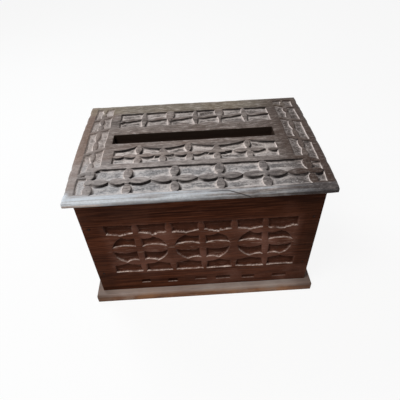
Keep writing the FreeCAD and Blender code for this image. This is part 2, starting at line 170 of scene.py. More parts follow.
# Where dust hangs over the board's upper edge, and where it grows darker towards its two ends, in metres.
DUSTY_EDGE = (0.0085, 0.014)
DARKER_ENDS = (0.096, 0.132)
base_finish, base_shader, place = new_finish("base_brown_stain")
dark_brown, mid_brown, light_fibre = (0.13, 0.052, 0.026), (0.33, 0.155, 0.08), (0.42, 0.24, 0.15)
pore_brown, bare_wood, orange_wood = (0.07, 0.03, 0.017), (0.5, 0.37, 0.29), (0.45, 0.22, 0.1)
dust, darkening = (0.46, 0.42, 0.395), (0.075, 0.043, 0.03)
streaks, fibres, pores = grain_of(place, "x")
blotches = place.noise(28, 4)
stain = streaks.between(0.35, 0.68).mixed(dark_brown, mid_brown)
stain = (fibres.between(0.45, 0.7) * 0.45).mixed(stain, light_fibre)
stain = (pores * 0.55).mixed(stain, pore_brown)
rubbed = (blotches.between(0.5, 0.68) * 0.4).mixed(stain, bare_wood)
facing = place.add("NewGeometry", {}, {}, output=1)
upward = facing.axis(2).between(0.5, 0.95)
orange = (place.noise(34, 3).between(0.45, 0.65) * (1 - upward) * 0.5).mixed(rubbed, orange_wood)
along, height = place.axis(0), place.axis(2)
brow = (height + 0.004 * blotches).between(*DUSTY_EDGE) * 0.75
settled = upward + (1 - upward) * brow
dusty = (settled * (0.3 + 0.55 * blotches)).mixed(orange, dust)
ends = along.apart(0).between(*DARKER_ENDS)
# Darker towards the two ends.
darker_ends = (ends * (0.35 + 0.5 * blotches)).mixed(dusty, darkening)
wire(base_shader, Base_Color=darker_ends, Roughness=0.5 + blotches * 0.2, Specular_IOR_Level=0.1,
     Normal=bumped(fibres - pores * 0.6, 0.25, 0.0004))
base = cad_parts["base_board"]
base.data.materials.clear()
base.data.materials.append(base_finish)


# Walls: four boards of dark red-brown stained wood, each with a field of rosettes cut about
# 3 mm deep by hand, with sloping walls and uneven floors. The front and back run the full
# length and are rabbeted for the sides, and pins through them hold the corners.
MILLIMETRE = 0.001
SMOOTH_BELOW = math.radians(38)


def waver(x, y, wave, seed):
    """An uneven hand: a smooth field of about -1 to 1 whose swells are about a wave long."""
    total = 0
    for turn in range(6):
        angle = seed * 1.7 + turn * 2.4
        pace = 2 * math.pi / (wave * (0.6 + 0.21 * turn))
        along = x * math.cos(angle) + y * math.sin(angle)
        total = total + np.sin(pace * along + seed * 3.1 + turn * 1.9)
    return total / 3


def ramp(value, start, end):
    """0 up to the start, 1 from the end on and even in between; the start may be the larger."""
    return np.clip((value - start) / (end - start), 0, 1)


def rounded(inside, radius):
    """How far a rounded edge drops below its face, at a distance inside the edge."""
    short = radius - np.clip(inside, 0, radius)
    return np.sqrt(radius ** 2 - short ** 2) - radius


def leaf(x, y, middle, half_length, half_width, blunt=0.0, upright=False):
    """How far a point lies inside a leaf between two arcs: negative outside."""
    along, across = x - middle[0], y - middle[1]
    if upright:
        along, across = across, along
    bulge = half_width - blunt
    radius = (half_length ** 2 + bulge ** 2) / (2 * bulge)
    return radius - np.hypot(along, np.abs(across) + radius - half_width)


class Carving:
    """The pattern on a board's face, all as numbers at the points of its mesh.

    land is how far a point lies inside what stands, negative in a hollow, and rail is the same
    for the board alone. top is how what stands is domed, and mark is what is scratched in it.
    """

    def __init__(self, hollow):
        self.land = -hollow
        self.rail = self.land
        self.top = np.zeros_like(hollow)
        self.mark = np.zeros_like(hollow)

    def stand(self, inside, half_width, dome):
        """Leave a shape standing, domed by so much towards its edge."""
        crown = -dome * (1 - np.clip(inside / half_width, 0, 1)) ** 2
        nearest = np.where(inside > self.land, crown, self.top)
        self.top = np.where((inside > 0) & (self.land > 0), np.maximum(self.top, crown), nearest)
        self.land = np.maximum(self.land, inside)

    def take_in(self, other, reach):
        """Add another pattern where it reaches."""
        nearest = np.where(other.land > self.land, other.top, self.top)
        top = np.where((other.land > 0) & (self.land > 0), np.maximum(self.top, other.top), nearest)
        self.top = np.where(reach, top, self.top)
        self.land = np.where(reach, np.maximum(self.land, other.land), self.land)
        self.mark = np.where(reach, np.maximum(self.mark, other.mark), self.mark)

    def engrave(self, off, width):
        """Scratch a line or a dot where its distance off is small."""
        self.mark = np.maximum(self.mark, np.exp(-(off / width) ** 2))


def relief(carving, depth, slope, ease, lip):
    """Heights over the board: eased tops, walls that steepen below a lip, and a flat floor."""
    tops = carving.top + rounded(carving.land, ease)
    rim = carving.top - ease
    walls = rim - (depth + rim) * np.interp(-carving.land / slope, (0, lip[0], 1), (0, lip[1], 1))
    return np.where(carving.land >= 0, tops, walls)


def slant(pattern, x, y, right, up):
    """How steeply the land of a pattern grows along a short step to the right or up."""
    growth = pattern(x + right, y + up).land - pattern(x - right, y - up).land
    return growth / (2 * math.hypot(right, up))


def drawn_to_edges(pattern, x, y, spacing, levels):
    """Slide the points nearest a carved edge along to it, so that every edge runs clean."""
    probe = 0.04
    furthest = 0.48
    flattest = 0.3
    for level in levels:
        land = pattern(x, y).land - level
        slant_x = slant(pattern, x, y, probe, 0)
        slant_y = slant(pattern, x, y, 0, probe)
        steep = np.maximum(slant_x ** 2 + slant_y ** 2, flattest)
        near = np.abs(land) < furthest * np.hypot(slant_x * spacing[0], slant_y * spacing[1])
        x = np.where(near, x - land * slant_x / steep, x)
        y = np.where(near, y - land * slant_y / steep, y)
    return x, y


def board(name, across, up, surface, back, chamfer):
    """A closed board: a carved face over lines across and up, its rim and a flat back."""
    columns, rows = len(across) - 1, len(up) - 1
    bpy.ops.object.select_all(action="DESELECT")
    bpy.ops.mesh.primitive_grid_add(x_subdivisions=columns, y_subdivisions=rows, size=1)
    piece = bpy.context.object
    piece.name = name
    mesh = piece.data
    points = np.empty(len(mesh.vertices) * 3)
    mesh.vertices.foreach_get("co", points)
    points = points.reshape(-1, 3)
    column = np.rint((points[:, 0] + 0.5) * columns).astype(int)
    row = np.rint((points[:, 1] + 0.5) * rows).astype(int)
    x, y, z, marks = surface(np.asarray(across)[column], np.asarray(up)[row])
    mesh.vertices.foreach_set("co", (np.stack([x, y, z], axis=1) * MILLIMETRE).ravel())
    for mark, values in marks.items():
        attribute = mesh.attributes.new(mark, "FLOAT", "POINT")
        attribute.data.foreach_set("value", values.astype(np.float32))
    middle = Vector(((across[0] + across[-1]) / 2, (up[0] + up[-1]) / 2, back)) * MILLIMETRE
    narrow = (1 - 2 * chamfer / (across[-1] - across[0]), 1 - 2 * chamfer / (up[-1] - up[0]), 1)
    bpy.ops.object.mode_set(mode="EDIT")
    bpy.ops.mesh.select_mode(type="EDGE")
    bpy.ops.mesh.select_all(action="DESELECT")
    bpy.ops.mesh.select_non_manifold()
    bpy.ops.mesh.extrude_region_move()
    bpy.ops.transform.resize(value=(1, 1, 0), center_override=middle)
    bpy.ops.transform.translate(value=(0, 0, chamfer * MILLIMETRE))
    bpy.ops.mesh.extrude_region_move(TRANSFORM_OT_translate={"value": (0, 0, -chamfer * MILLIMETRE)})
    bpy.ops.transform.resize(value=narrow, center_override=middle)
    bpy.ops.mesh.edge_face_add()
    bpy.ops.mesh.select_all(action="SELECT")
    bpy.ops.mesh.normals_make_consistent(inside=False)
    bpy.ops.object.mode_set(mode="OBJECT")
    return piece


def cut_away(piece, blocks):
    """Saw straight-sided blocks, each from corner to corner in millimetres, out of a piece."""
    bpy.ops.object.select_all(action="DESELECT")
    saws = []
    for low, high in blocks:
        low, high = Vector(low) * MILLIMETRE, Vector(high) * MILLIMETRE
        bpy.ops.mesh.primitive_cube_add(size=1, location=(low + high) / 2, scale=high - low)
        saws.append(bpy.context.object)
    for saw in saws:
        saw.select_set(True)
    bpy.ops.object.join()
    saw = bpy.context.object
    bpy.ops.object.transform_apply(location=True, rotation=True, scale=True)
    bpy.context.view_layer.objects.active = piece
    cut = piece.modifiers.new("cut", "BOOLEAN")
    cut.object = saw
    cut.operation = "DIFFERENCE"
    cut.solver = "EXACT"
    bpy.ops.object.modifier_apply(modifier=cut.name)
    bpy.data.objects.remove(saw)


def set_in_place(piece, turn, origin):
    """Turn a board made flat, and set it in its place in the box."""
    piece.data.transform(Matrix.Translation(Vector(origin) * MILLIMETRE) @ turn)
    bpy.ops.object.select_all(action="DESELECT")
    piece.select_set(True)
    bpy.context.view_layer.objects.active = piece
    bpy.ops.object.shade_smooth_by_angle(angle=SMOOTH_BELOW)


# The boards and their joints, in millimetres.
WALL_HEIGHT = 148.5
BOX_LENGTH = 248.0
BOX_WIDTH = 158.0
BASE_TOP = 13.0
FRONT_THICK = 10.0
SIDE_THICK = 15.0
RABBET_LEAVES = 5.0
SIDE_LENGTH = BOX_WIDTH - 2 * RABBET_LEAVES
OVERCUT = 2.0
BACK_CHAMFER = 0.4
# The carved field: heights are from its middle, and each round is a radius.
FIELD_MIDDLE = 72.6
FIELD_HALF = 39.0
FIELD_TILT = 0.009
ROW_FOOT = 17.0
LEFT_END_SHIFTS = (2.0, 1.3, 3.0, -0.5)
SCALLOP_ROUND = 45.0
SCALLOP_DROP = 18.5
ROSETTE_HALF = 30.2
ROSETTE_ROUND = 22.0
HUMP_ROUND = 14.0
HUMP_RISE = 31.0
BAR_HEIGHTS = (-39, -31, -24, -16, 0, 16, 24, 31, 39)
BAR_HALVES = (2.1, 3.3, 2.7, 3.1, 3.7, 3.2, 2.8, 3.4, 2.0)
BAR_HALF = 3.4
BAR_DOME = 0.5
PETAL_MIDDLE = (16.3, 0.4)
PETAL_HALF_LENGTH = 14.6
PETAL_HALF_WIDTH = 6.6
PETAL_BLUNT = 3.2
PETAL_DOME = 0.9


def rosette_field(x, y, pitch, count, ends, seed, lean):
    """The carved field of a wall: rosettes in a row between two rows of spandrels."""
    x = x + 0.45 * waver(x, y, 34, seed)
    up = y - FIELD_MIDDLE + FIELD_TILT * x + 0.5 * waver(x, y, 41, seed + 1)
    up = up + 0.3 * waver(x, y, 11, seed + 5) + 0.16 * waver(x, y, 5, seed + 7)
    x = x + np.interp(x, *lean) * up / FIELD_HALF
    rise = np.abs(up)
    bars = [pitch / 2 * step for step in range(-count, count + 1)]
    scallops = np.max([SCALLOP_ROUND - np.hypot(x - bar, rise + SCALLOP_DROP) for bar in bars], axis=0)
    torn = 0.55 * waver(x, y, 4.6, seed + 8) * np.clip(waver(x, y, 50, seed + 9) + 0.4, 0, 1)
    scallops = scallops + torn * (up > 0)
    start = ends[0] + np.interp(up, (-FIELD_HALF, -ROW_FOOT, ROW_FOOT, FIELD_HALF), LEFT_END_SHIFTS)
    strip = np.minimum.reduce([x - start, ends[1] - x, FIELD_HALF - rise, rise - ROW_FOOT])
    hollow = np.minimum(strip, -scallops)
    centres = [pitch * (index - (count - 1) / 2) for index in range(count)]
    for centre in centres:
        off = np.abs(x - centre) - (ROSETTE_HALF - ROSETTE_ROUND)
        rounds = ROSETTE_ROUND - np.hypot(off, rise)
        humps = HUMP_ROUND - np.hypot(off, rise - HUMP_RISE)
        hollow = np.maximum(hollow, np.minimum(rounds, -humps))
    carving = Carving(hollow)
    half = np.interp(up, BAR_HEIGHTS, BAR_HALVES)
    for bar in bars[1:-1]:
        inside = np.minimum(half - np.abs(x - bar), FIELD_HALF + 2 - rise)
        carving.stand(inside, BAR_HALF, BAR_DOME)
    out, above = PETAL_MIDDLE
    for centre in centres:
        for side in (-1, 1):
            middle = (centre + side * out, above)
            petal = leaf(x, up, middle, PETAL_HALF_LENGTH, PETAL_HALF_WIDTH, PETAL_BLUNT)
            carving.stand(petal, PETAL_HALF_WIDTH, PETAL_DOME)
    return carving


SHADE_STEPS = (1, 2.2, 3.6, 5.2, 7, 9)
SHADE_REACH = 12
SHADE_LEAN = 0.45


def shade_below(pattern, x, y):
    """Painted shadow: how deep a point lies in the shade cast by what stands above it and a little to its
    left.
    """
    shade = np.zeros_like(x)
    for step in SHADE_STEPS:
        above = np.clip(pattern(x - SHADE_LEAN * step, y + step).land + 0.5, 0, 1)
        shade = np.maximum(shade, above * (1 - step / SHADE_REACH))
    return shade


def wall_wear(x, y, half_length):
    """Where hands have worn a wall's stain thin, and where it is dimmed: painted shade under the lid's
    overhang towards the upper right and at the right end, and darker along the left rails and at the lower
    left.
    """
    from_middle = np.abs(y - FIELD_MIDDLE)
    in_field = ramp(np.minimum(half_length - 16 - np.abs(x), 44 - from_middle), 0, 9)
    below_field = ramp(x, -40, -10) * (y < 30)
    handled = in_field * np.interp(x, (-60, -10), (1, 1.35)) + 0.75 * below_field
    # Painted shade: under the lid's overhang at the upper right, and at the right end.
    upper_right = ramp(x, 10, 120) * ramp(y, 95, 135)
    right_end = ramp(x, 95, 120)
    left_rails = ramp(x, -40, -70) * ramp(from_middle, 39, 45)
    lower_left = ramp(x, -100, -112) * ramp(y, 75, 35)
    dimmed = upper_right + right_end + 0.45 * left_rails + 0.6 * lower_left
    return handled, np.clip(dimmed, 0, 1)


# Each notch: its middle, foot and length, how pale its foot is cut, and its depth.
NOTCHES = ((-69.7, 12.9, 11, 0.7, 2.8), (-37.8, 11.3, 12.5, 0.8, 2.8), (-3.8, 12.6, 15, 0.35, 1.5),
           (22.9, 11.1, 18, 0.5, 2.1), (53.2, 9.9, 16, 0.45, 1.9), (90.9, 9.5, 18, 0.35, 1.7))
NOTCH_HEIGHT = 5.4
NOTCH_END = 1.6


def gouged(x, y, notch):
    """One notch below the field: how deep it is scooped, its pale foot, which is bare wood with a painted
    highlight on its upward face, and the painted shade in its hollow.
    """
    middle, foot, length, pale, depth = notch
    ends = ramp(length / 2 - np.abs(x - middle), 0, NOTCH_END)
    climb = (y - foot) / NOTCH_HEIGHT
    scoop = np.clip(np.minimum(climb * 2.6, (1 - climb) * 3), 0, 1) * ends
    at_foot = np.clip(1 - np.abs(climb + 0.03) * 12, 0, 1)
    bare = pale * at_foot * np.clip(2 * ends, 0, 1)
    dark = np.clip(scoop * 6, 0, 1) * (climb > 0.06) * 0.27 * depth
    return depth * scoop, bare, dark


WALL_DEPTH = 3.0
WALL_SLOPE = 1.1
WALL_LIP = (0.42, 0.36)
WALL_EASE = 0.6
WALL_ROUND = 1.0
PALE_LIP = 0.46
PIN_HEIGHTS = (34, 109.5)
PIN_FROM_END = 7.5
PIN_DIMPLE = 1.7
DIMPLE_DEPTH = 0.45


def wall_surface(pattern, seed, half_length, notches, pins, spacing):
    """The face of one wall: its carving, notches and pin dimples, and what its finish reads."""
    def surface(x, y):
        edge = np.minimum(half_length - np.abs(x), np.minimum(y, WALL_HEIGHT - y))
        inner = edge > 0.5
        rings = (0.0, -WALL_LIP[0] * WALL_SLOPE, -WALL_SLOPE)
        moved_x, moved_y = drawn_to_edges(pattern, x, y, spacing, rings)
        x, y = np.where(inner, moved_x, x), np.where(inner, moved_y, y)
        carving = pattern(x, y)
        z = relief(carving, WALL_DEPTH, WALL_SLOPE, WALL_EASE, WALL_LIP)
        floor = ramp(carving.land, 0, -WALL_SLOPE)
        z = z + floor * (0.28 * waver(x, y, 7, seed + 2) + 0.2 * waver(x, 2.5 * y, 9, seed + 3))
        z = z - 0.12 * (1 + waver(x, y, 60, seed + 4)) * (carving.land > 0)
        # The pale cut lips: bare wood, made palest where they face up, which is painted highlight.
        upward = np.clip(-1.2 * slant(pattern, x, y, 0, 0.1) - 0.3, 0, 1)
        lipped = np.clip(1.1 - np.abs(carving.land) / PALE_LIP, 0, 1)
        cut = lipped * (0.04 + 0.96 * upward) * (0.85 + 0.35 * waver(x, y, 13, seed + 6))
        # Painted shadow: the hollows darken below what stands above them.
        shade = shade_below(pattern, x, y) * floor
        handled, dimmed = wall_wear(x, y, half_length)
        for notch in notches:
            scooped, bare, dark = gouged(x, y, notch)
            z = z - scooped
            cut = np.maximum(cut, bare)
            shade = np.maximum(shade, dark)
        for end in pins:
            for height in PIN_HEIGHTS:
                z = z - DIMPLE_DEPTH * (np.hypot(x - end, y - height) < PIN_DIMPLE)
        z = np.minimum(z + rounded(edge, WALL_ROUND), 0)
        return x, y, z, {"floor": floor, "cut": cut, "shade": shade, "rim": np.exp(-edge / 1.5),
                         "handled": handled, "dimmed": dimmed}
    return surface


EDGE_LINE = 0.4
EVEN_FROM = 1


def even_lines(low, high, spacing):
    """Evenly spaced lines from low to high, with two close ones along each edge."""
    count = int((high - low - 2 * EVEN_FROM) / spacing) + 1
    inside = np.linspace(low + EVEN_FROM, high - EVEN_FROM, count)
    return np.concatenate([[low, low + EDGE_LINE], inside, [high - EDGE_LINE, high]])


FOOT_LINES = (1, 9, 1.3)
NOTCH_LINES = (9.2, 19.6, 0.4)
LOWER_LINES = (20.4, 30, 1.3)
FIELD_LINES = (30.4, 115.4)
UPPER_LINES = (116.6, 147.4, 1.3)


def wall_lines(spacing):
    """Lines up a wall: close together over the notches and the carved field, wide elsewhere."""
    low, high = FIELD_LINES
    field = np.linspace(low, high, int((high - low) / spacing))
    foot, notch, lower, upper = (
        np.arange(*run) for run in (FOOT_LINES, NOTCH_LINES, LOWER_LINES, UPPER_LINES))
    top = [WALL_HEIGHT - EDGE_LINE, WALL_HEIGHT]
    return np.concatenate([[0, EDGE_LINE], foot, notch, lower, field, upper, top])


def wall_finish(name, along):
    """Dark red-brown stain, worn on the high wood; pale on the cut lips, which are bare wood with a
    painted highlight where they face up; dark in the hollows, with painted shade.
    """
    finish, shader, place = new_finish(name)
    dark_red, mid_red, light_fibre = (0.044, 0.012, 0.0055), (0.098, 0.029, 0.013), (0.19, 0.066, 0.034)
    dark_fibre, pore_brown, thin_stain = (0.016, 0.005, 0.003), (0.014, 0.005, 0.003), (0.19, 0.082, 0.056)
    floor_shade_red, worn_red, scratched = (0.034, 0.01, 0.005), (0.22, 0.1, 0.072), (0.42, 0.27, 0.21)
    dim_brown, painted_shadow = (0.018, 0.007, 0.003), (0.006, 0.002, 0.0015)
    bare_wood, rubbed_edge = (0.9, 0.74, 0.66), (0.2, 0.1, 0.065)
    streaks, fibres, pores = grain_of(place, along)
    blotches = place.noise(24, 4)
    marks = ("floor", "cut", "shade", "rim", "handled", "dimmed")
    floor, cut, shade, rim, handled, dimmed = (place.carved(mark) for mark in marks)
    stain = streaks.between(0.34, 0.68).mixed(dark_red, mid_red)
    stain = (fibres.between(0.46, 0.66) * 0.4).mixed(stain, light_fibre)
    stain = ((1 - fibres).between(0.48, 0.68) * 0.55).mixed(stain, dark_fibre)
    stain = (pores * 0.65).mixed(stain, pore_brown)
    thin = (handled * (0.8 * blotches - 0.1)).mixed(stain, thin_stain)
    # Painted shade: the floors of the hollows are darker.
    floor_shaded = (floor * 0.3).mixed(thin, floor_shade_red)
    high_wood = blotches.between(0.48, 0.66) * (1 - floor)
    worn = (high_wood * (0.12 + 0.3 * handled)).mixed(floor_shaded, worn_red)
    scratches = place.stretched(70, 70, 1000).noise(1, 3, 0.6).between(0.58, 0.7)
    off_petals = place.axis(2).apart((BASE_TOP + FIELD_MIDDLE) * MILLIMETRE)
    hatched = 1 - off_petals.between(0.003, 0.008)
    worn = (scratches * handled * (0.05 + 0.4 * blotches + 0.4 * hatched)).mixed(worn, scratched)
    # Dimmed: painted shade at the upper right and the right end, and darker at the left rails and lower
    # left.
    dulled = (dimmed * 0.45).mixed(worn, dim_brown)
    # Painted shadow: the cast shade in the hollows and the painted shade in the notches.
    shadowed = (shade * 0.8).mixed(dulled, painted_shadow)
    chipped = place.noise(420, 3, 0.6).between(0.36, 0.6)
    # Pale cut lips: bare wood, with painted highlight where they face up.
    pale = (cut * (0.5 + 0.65 * chipped)).mixed(shadowed, bare_wood)
    edges = (rim * blotches.between(0.4, 0.7) * 0.5).mixed(pale, rubbed_edge)
    wire(shader, Base_Color=edges, Roughness=0.45 + 0.25 * floor + 0.12 * blotches,
         Specular_IOR_Level=0.02, Normal=bumped(fibres + 0.7 * streaks - pores * 0.6, 0.3, 0.0004))
    return finish


LONG_PITCH = 69
LONG_ENDS = (-102.5, 103)
SIDE_PITCH = 67
SIDE_ENDS = (-67, 67)
FINE = (0.72, 0.46)
PLAIN = (0.9, 0.6)
long_finish = wall_finish("wall_red_brown_lengthways", "x")
end_finish = wall_finish("wall_red_brown_crossways", "y")
upright = Matrix.Rotation(math.pi / 2, 4, "X")
front_lean = ((-103, -69, -34.5, 0, 34.5, 69, 103), (-1, 0.85, 0.65, 1.2, 0.35, 2.75, 2.25))
no_lean = ((-103, 103), (0, 0))
pin_ends = (PIN_FROM_END - BOX_LENGTH / 2, BOX_LENGTH / 2 - PIN_FROM_END)
rabbets = []
for side in (-1, 1):
    left, right = sorted((side * (BOX_LENGTH / 2 - SIDE_THICK), side * (BOX_LENGTH / 2 + OVERCUT)))
    rabbets.append(((left, -OVERCUT, -FRONT_THICK - OVERCUT),
                    (right, WALL_HEIGHT + OVERCUT, -RABBET_LEAVES)))
for name, seed, lean, notches, angle, origin, spacing in (
    ("front_panel", 2.0, front_lean, NOTCHES, 0, (0, -BOX_WIDTH / 2, BASE_TOP), FINE),
    ("back_panel", 5.0, no_lean, (), math.pi, (0, BOX_WIDTH / 2, BASE_TOP), PLAIN),
):
    def pattern(x, y):
        return rosette_field(x, y, LONG_PITCH, 3, LONG_ENDS, seed, lean)
    face = wall_surface(pattern, seed, BOX_LENGTH / 2, notches, pin_ends, spacing)
    wall = board(name + "_carved", even_lines(-BOX_LENGTH / 2, BOX_LENGTH / 2, spacing[0]),
                 wall_lines(spacing[1]), face, -FRONT_THICK, BACK_CHAMFER)
    cut_away(wall, rabbets)
    set_in_place(wall, Matrix.Rotation(angle, 4, "Z") @ upright, origin)
    wall.data.materials.append(long_finish)
    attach(wall, "box")
    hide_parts(name)
for name, seed, side in (("left_panel", 9.0, -1), ("right_panel", 13.0, 1)):
    def pattern(x, y):
        return rosette_field(x, y, SIDE_PITCH, 2, SIDE_ENDS, seed, no_lean)
    face = wall_surface(pattern, seed, SIDE_LENGTH / 2, (), (), PLAIN)
    wall = board(name + "_carved", even_lines(-SIDE_LENGTH / 2, SIDE_LENGTH / 2, PLAIN[0]),
                 wall_lines(PLAIN[1]), face, -SIDE_THICK, BACK_CHAMFER)
    set_in_place(wall, Matrix.Rotation(side * math.pi / 2, 4, "Z") @ upright,
                 (side * BOX_LENGTH / 2, 0, BASE_TOP))
    wall.data.materials.append(end_finish)
    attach(wall, "box")
    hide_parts(name)


# Pins and base screws: dulled steel, driven flush. The pins go through the front and back
# into the side boards, and the screws come up through the base into the walls.
def steel_finish(name, bright, stained=0.0):
    """Steel that has dulled unevenly, with fine scratches, brown pits and any stain brushed over."""
    finish, shader, place = new_finish(name)
    dark_steel, light_steel, rust = (
        tuple(bright * part for part in colour)
        for colour in ((0.2, 0.17, 0.15), (0.5, 0.48, 0.46), (0.16, 0.07, 0.035)))
    wall_stain = (0.03, 0.011, 0.006)
    clouds = place.noise(420, 4)
    scratches = place.stretched(300, 4200, 4200).noise(1, 2)
    metal = clouds.between(0.38, 0.66).mixed(dark_steel, light_steel)
    pitted = (place.noise(900, 3).between(0.58, 0.72) * 0.6).mixed(metal, rust)
    brushed = (stained * (0.6 + 0.5 * clouds)).mixed(pitted, wall_stain)
    wire(shader, Base_Color=brushed, Metallic=0.9 * (1 - stained), Roughness=0.4 + 0.35 * clouds,
         Specular_IOR_Level=0.5 * (1 - stained), Normal=bumped(scratches, 0.2, 0.0001))
    return finish


def dress(names, finish):
    """Give CAD pieces that keep their own shape a finish."""
    for name in names:
        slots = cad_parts[name].data.materials
        slots.clear()
        slots.append(finish)


dress(("front_pins", "back_pins"), steel_finish("pin_steel_dark", 0.12, 0.9))
dress(("base_screws",), steel_finish("screw_steel", 1.0))


# Hinges: two small butt hinges of aged brass, each a leaf screwed to the back wall, a leaf
# let into the lid and a steel pin through their knuckles.
brass_finish, brass_shader, place = new_finish("hinge_brass_aged")
dull_brass, clean_brass, tarnish = (0.33, 0.2, 0.075), (0.62, 0.44, 0.19), (0.12, 0.075, 0.035)
clouds = place.noise(160, 5)
brushing = place.stretched(200, 5000, 5000).noise(1, 2)
brass = clouds.between(0.35, 0.66).mixed(dull_brass, clean_brass)
brass = (place.noise(380, 4).between(0.56, 0.74) * 0.65).mixed(brass, tarnish)
wire(brass_shader, Base_Color=brass, Metallic=0.95, Roughness=0.3 + 0.28 * clouds,
     Normal=bumped(brushing, 0.16, 0.0001))
dress(("left_hinge_box_leaf", "left_hinge_lid_leaf", "right_hinge_box_leaf", "right_hinge_lid_leaf",
       "hinge_box_screws", "hinge_lid_screws", "batten_screws"), brass_finish)
dress(("left_hinge_pin", "right_hinge_pin"), steel_finish("hinge_pin_steel", 1.0))


# Battens: two strips of bare wood under the lid, one near each end. They lie across its grain
# and are screwed up into it to keep it flat.
raw_finish, raw_shader, place = new_finish("batten_bare_wood")
raw_dark, raw_light, raw_fibre, raw_pore = (
    (0.34, 0.22, 0.15), (0.52, 0.37, 0.27), (0.6, 0.45, 0.34), (0.18, 0.1, 0.06))
streaks, fibres, pores = grain_of(place, "y")
raw = streaks.between(0.33, 0.68).mixed(raw_dark, raw_light)
raw = (fibres.between(0.45, 0.7) * 0.4).mixed(raw, raw_fibre)
raw = (pores * 0.5).mixed(raw, raw_pore)
wire(raw_shader, Base_Color=raw, Roughness=0.62 + 0.2 * fibres,
     Normal=bumped(fibres - pores * 0.5, 0.25, 0.0004))
dress(("left_batten", "right_batten"), raw_finish)


# Lid: one crowned board with a rounded nose all round and a long slot sawn through it. Bands
# of crosses, leaves and bars are cut about 2 mm deep; the stain has worn pale in the hollows.
LID_LENGTH = 260.0
LID_WIDTH = 178.0
LID_UNDER = 161.7
LID_EDGE = 171.7
LID_CROWN = 2.5
LID_DEPTH = 2.2
LID_SLOPE = 0.9
LID_EASE = 0.35
LID_LIP = (0.5, 0.5)
LID_CHAMFER = 2.0
LID_SPACING = 0.72
NOSE_ROUND = 4.5
NOSE_FLAT_FROM = 5.2
CARVED_FROM = 5.5
SLOT = (-92, 86, -1.2, 16.4)
SLOT_EASE = 1.2


def panel(x, y, left, right, front, rear):
    """How far a point lies inside a straight-sided hollow."""
    return np.minimum.reduce([x - left, right - x, y - front, rear - y])


def knob(x, y, middle, radius):
    """How far a point lies inside a round."""
    return radius - np.hypot(x - middle[0], y - middle[1])


def oval(x, y, middle, half_x, half_y):
    """How far a point lies inside an oval."""
    along, across = (x - middle[0]) / half_x, (y - middle[1]) / half_y
    share = np.hypot(along, across)
    return share * (1 - share) / np.maximum(np.hypot(along / half_x, across / half_y), 1e-6)


def stroke(off, along, half_length):
    """How far a point lies from a short straight stroke, given its distances off and along it."""
    return np.hypot(off, np.maximum(np.abs(along) - half_length, 0))


# The front band: petals by their row and half sizes, dots and veins by their row and width.
FRONT_CROSSES = (-107.3, -69.9, -24, 20.3, 64, 108.3)
CROSS_ROW = -64.0
CROSS_KNOB = 3.8
CROSS_END = 12
CROSS_PETALS = ((-52.6, 4.3, 7.8), (-75.6, 4.1, 7.4))
CROSS_DOTS = ((-54.5, 0.7), (-75.4, 0.8))
PETAL_VEIN = (-50.5, 0.55)
PETAL_VEIN_HALF = 2
LEAF_HALF_WIDTH = 4.6
LEAF_VEIN_HALF = 3.5
LEFTMOST_LEAF = -118


def front_band(x, y, carving):
    """Six crosses: a petal to the front and rear of each, and a leaf to each side."""
    middles = [(a + b) / 2 for a, b in zip(FRONT_CROSSES, FRONT_CROSSES[1:])]
    lefts = [FRONT_CROSSES[0] - CROSS_END] + middles
    rights = middles + [FRONT_CROSSES[-1] + CROSS_END]
    for cross, left, right in zip(FRONT_CROSSES, lefts, rights):
        for row, half_x, half_y in CROSS_PETALS:
            carving.stand(oval(x, y, (cross, row), half_x, half_y), half_x, 0.35)
        carving.stand(knob(x, y, (cross, CROSS_ROW), CROSS_KNOB), CROSS_KNOB, 0.2)
        for row, width in CROSS_DOTS:
            carving.engrave(np.hypot(x - cross, y - row), width)
        row, width = PETAL_VEIN
        carving.engrave(stroke(x - cross, y - row, PETAL_VEIN_HALF), width)
        for tip in (left, right):
            if tip < LEFTMOST_LEAF:
                continue
            middle, half = (cross + tip) / 2, abs(tip - cross) / 2
            arm = leaf(x, y, (middle, CROSS_ROW), half, LEAF_HALF_WIDTH, 0.5)
            carving.stand(arm, LEAF_HALF_WIDTH, 0.4)
            carving.engrave(stroke(y - CROSS_ROW, x - middle, LEAF_VEIN_HALF), 0.6)


# The inner front band. The bar's leaf has a row, a half length and a half width. An arm has how
# far out it lies instead of a row, and a bud has its two half sizes.
INNER_BARS = (-62.0, -8.9, 54.1)
INNER_TULIPS = (-36.4, 20.3)
INNER_ENDS = (-88.6, 83.7)
INNER_ROW = -25.0
INNER_KNOB = 3.3
BAR_LEAF = (-13.8, 7.4, 3.4)
BAR_VEIN = -14.5
BAR_ARM = (8.6, 8.4, 3.5)
BUD_ROW = -32.8
BUD_DOT = -32.4
BAR_BUD = (3.5, 6.2)
TULIP_BUD = (3.6, 6.2)
TULIP_ARM = (8.6, 6.6, 1.9)
TULIP_REAR = -12.5
TULIP_FRONT = -27.4
TULIP_STEM = 2.2
TULIP_FLARE = 6.4
TULIP_FLARE_ROWS = (-13, -24.5)
END_LEAVES = (9.5, -8.5)
END_LEAF_WIDTH = 2.6
SWAG_LOWS = (-15.5, -15.0, -15.0, -12.0)
SWAG_CUSP = -7.4


def swag_edge(x):
    """The hanging rear edge of the inner front band: low at ends and tulips, cusped at the bars."""
    lows = (INNER_ENDS[0], *INNER_TULIPS, INNER_ENDS[1])
    edge = np.full_like(x, SWAG_LOWS[0])
    for index, bar in enumerate(INNER_BARS):
        for bottom, low in zip(lows[index:index + 2], SWAG_LOWS[index:index + 2]):
            reach = np.clip((x - bottom) / (bar - bottom), 0, 1)
            inside = (x >= min(bottom, bar)) & (x <= max(bottom, bar))
            edge = np.where(inside, low + (SWAG_CUSP - low) * reach ** 2, edge)
    return edge


